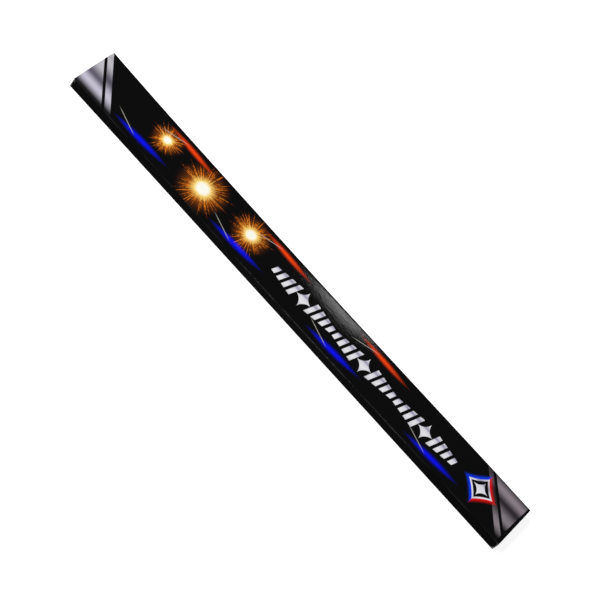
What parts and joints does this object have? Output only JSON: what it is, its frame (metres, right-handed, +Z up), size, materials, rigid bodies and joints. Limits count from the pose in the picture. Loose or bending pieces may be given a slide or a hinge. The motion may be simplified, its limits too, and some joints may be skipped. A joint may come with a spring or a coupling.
{
  "type": "sparkler pack",
  "caption": "Long flat black printed tuck-end carton of folding boxboard that holds a row of hand sparklers; both end flaps open on their creases.",
  "frame": {"origin": "centre of the back panel's underside, on the surface that the carton lies on", "axes": "+X along the carton from the left end to the right end, +Y from the near side to the far side, +Z up out of the front panel"},
  "size_m": [0.42, 0.04, 0.009],
  "materials": {
    "printed_board": "satin",
    "seam_glue": "matte",
    "wire": "satin",
    "coating": "matte"
  },
  "bodies": {
    "carton": {"front_panel": "printed_board", "back_panel": "printed_board", "near_side_panel": "printed_board", "far_side_panel": "printed_board", "glue_flap": "printed_board", "seam_glue": "seam_glue"},
    "left_closure": {"left_closure_panel": "printed_board"},
    "left_tongue": {"left_tuck_tongue": "printed_board"},
    "left_near_dust": {"left_near_dust_flap": "printed_board"},
    "left_far_dust": {"left_far_dust_flap": "printed_board"},
    "right_closure": {"right_closure_panel": "printed_board"},
    "right_tongue": {"right_tuck_tongue": "printed_board"},
    "right_near_dust": {"right_near_dust_flap": "printed_board"},
    "right_far_dust": {"right_far_dust_flap": "printed_board"},
    "sparkler_1": {"sparkler_1_wire": "wire", "sparkler_1_coating": "coating"},
    "sparkler_2": {"sparkler_2_wire": "wire", "sparkler_2_coating": "coating"},
    "sparkler_3": {"sparkler_3_wire": "wire", "sparkler_3_coating": "coating"},
    "sparkler_4": {"sparkler_4_wire": "wire", "sparkler_4_coating": "coating"},
    "sparkler_5": {"sparkler_5_wire": "wire", "sparkler_5_coating": "coating"},
    "sparkler_6": {"sparkler_6_wire": "wire", "sparkler_6_coating": "coating"},
    "sparkler_7": {"sparkler_7_wire": "wire", "sparkler_7_coating": "coating"},
    "sparkler_8": {"sparkler_8_wire": "wire", "sparkler_8_coating": "coating"}
  },
  "joints": [
    {"name": "left_closure_hinge", "type": "hinge", "parent": "carton", "child": "left_closure", "pos_m": [-0.21, 0, 0], "axis": [0, -1, 0], "range_deg": [0, 90]},
    {"name": "left_tongue_fold", "type": "hinge", "parent": "left_closure", "child": "left_tongue", "pos_m": [-0.2095, 0, 0.0074], "axis": [0, -1, 0], "range_deg": [-58.5, 0]},
    {"name": "left_near_dust_hinge", "type": "hinge", "parent": "carton", "child": "left_near_dust", "pos_m": [-0.2092, -0.02, 0], "axis": [0, 0, 1], "range_deg": [0, 40.5]},
    {"name": "left_far_dust_hinge", "type": "hinge", "parent": "carton", "child": "left_far_dust", "pos_m": [-0.2092, 0.02, 0], "axis": [0, 0, -1], "range_deg": [0, 40.5]},
    {"name": "right_closure_hinge", "type": "hinge", "parent": "carton", "child": "right_closure", "pos_m": [0.21, 0, 0.009], "axis": [0, -1, 0], "range_deg": [0, 90]},
    {"name": "right_tongue_fold", "type": "hinge", "parent": "right_closure", "child": "right_tongue", "pos_m": [0.2095, 0, 0.0016], "axis": [0, -1, 0], "range_deg": [-58.5, 0]},
    {"name": "right_near_dust_hinge", "type": "hinge", "parent": "carton", "child": "right_near_dust", "pos_m": [0.2092, -0.02, 0], "axis": [0, 0, -1], "range_deg": [0, 40.5]},
    {"name": "right_far_dust_hinge", "type": "hinge", "parent": "carton", "child": "right_far_dust", "pos_m": [0.2092, 0.02, 0], "axis": [0, 0, 1], "range_deg": [0, 40.5]},
    {"name": "sparkler_1_slide", "type": "slide", "parent": "carton", "child": "sparkler_1", "axis": [1, 0, 0], "range_m": [-0.008, 0.008]},
    {"name": "sparkler_2_slide", "type": "slide", "parent": "carton", "child": "sparkler_2", "axis": [1, 0, 0], "range_m": [-0.008, 0.008]},
    {"name": "sparkler_3_slide", "type": "slide", "parent": "carton", "child": "sparkler_3", "axis": [1, 0, 0], "range_m": [-0.008, 0.008]},
    {"name": "sparkler_4_slide", "type": "slide", "parent": "carton", "child": "sparkler_4", "axis": [1, 0, 0], "range_m": [-0.008, 0.008]},
    {"name": "sparkler_5_slide", "type": "slide", "parent": "carton", "child": "sparkler_5", "axis": [1, 0, 0], "range_m": [-0.008, 0.008]},
    {"name": "sparkler_6_slide", "type": "slide", "parent": "carton", "child": "sparkler_6", "axis": [1, 0, 0], "range_m": [-0.008, 0.008]},
    {"name": "sparkler_7_slide", "type": "slide", "parent": "carton", "child": "sparkler_7", "axis": [1, 0, 0], "range_m": [-0.008, 0.008]},
    {"name": "sparkler_8_slide", "type": "slide", "parent": "carton", "child": "sparkler_8", "axis": [1, 0, 0], "range_m": [-0.008, 0.008]}
  ],
  "couplings": [
    {"joint": "left_tongue_fold", "follows": "left_closure_hinge", "ratio": -0.65},
    {"joint": "left_near_dust_hinge", "follows": "left_closure_hinge", "ratio": 0.45},
    {"joint": "left_far_dust_hinge", "follows": "left_closure_hinge", "ratio": 0.45},
    {"joint": "right_tongue_fold", "follows": "right_closure_hinge", "ratio": -0.65},
    {"joint": "right_near_dust_hinge", "follows": "right_closure_hinge", "ratio": 0.45},
    {"joint": "right_far_dust_hinge", "follows": "right_closure_hinge", "ratio": 0.45}
  ]
}
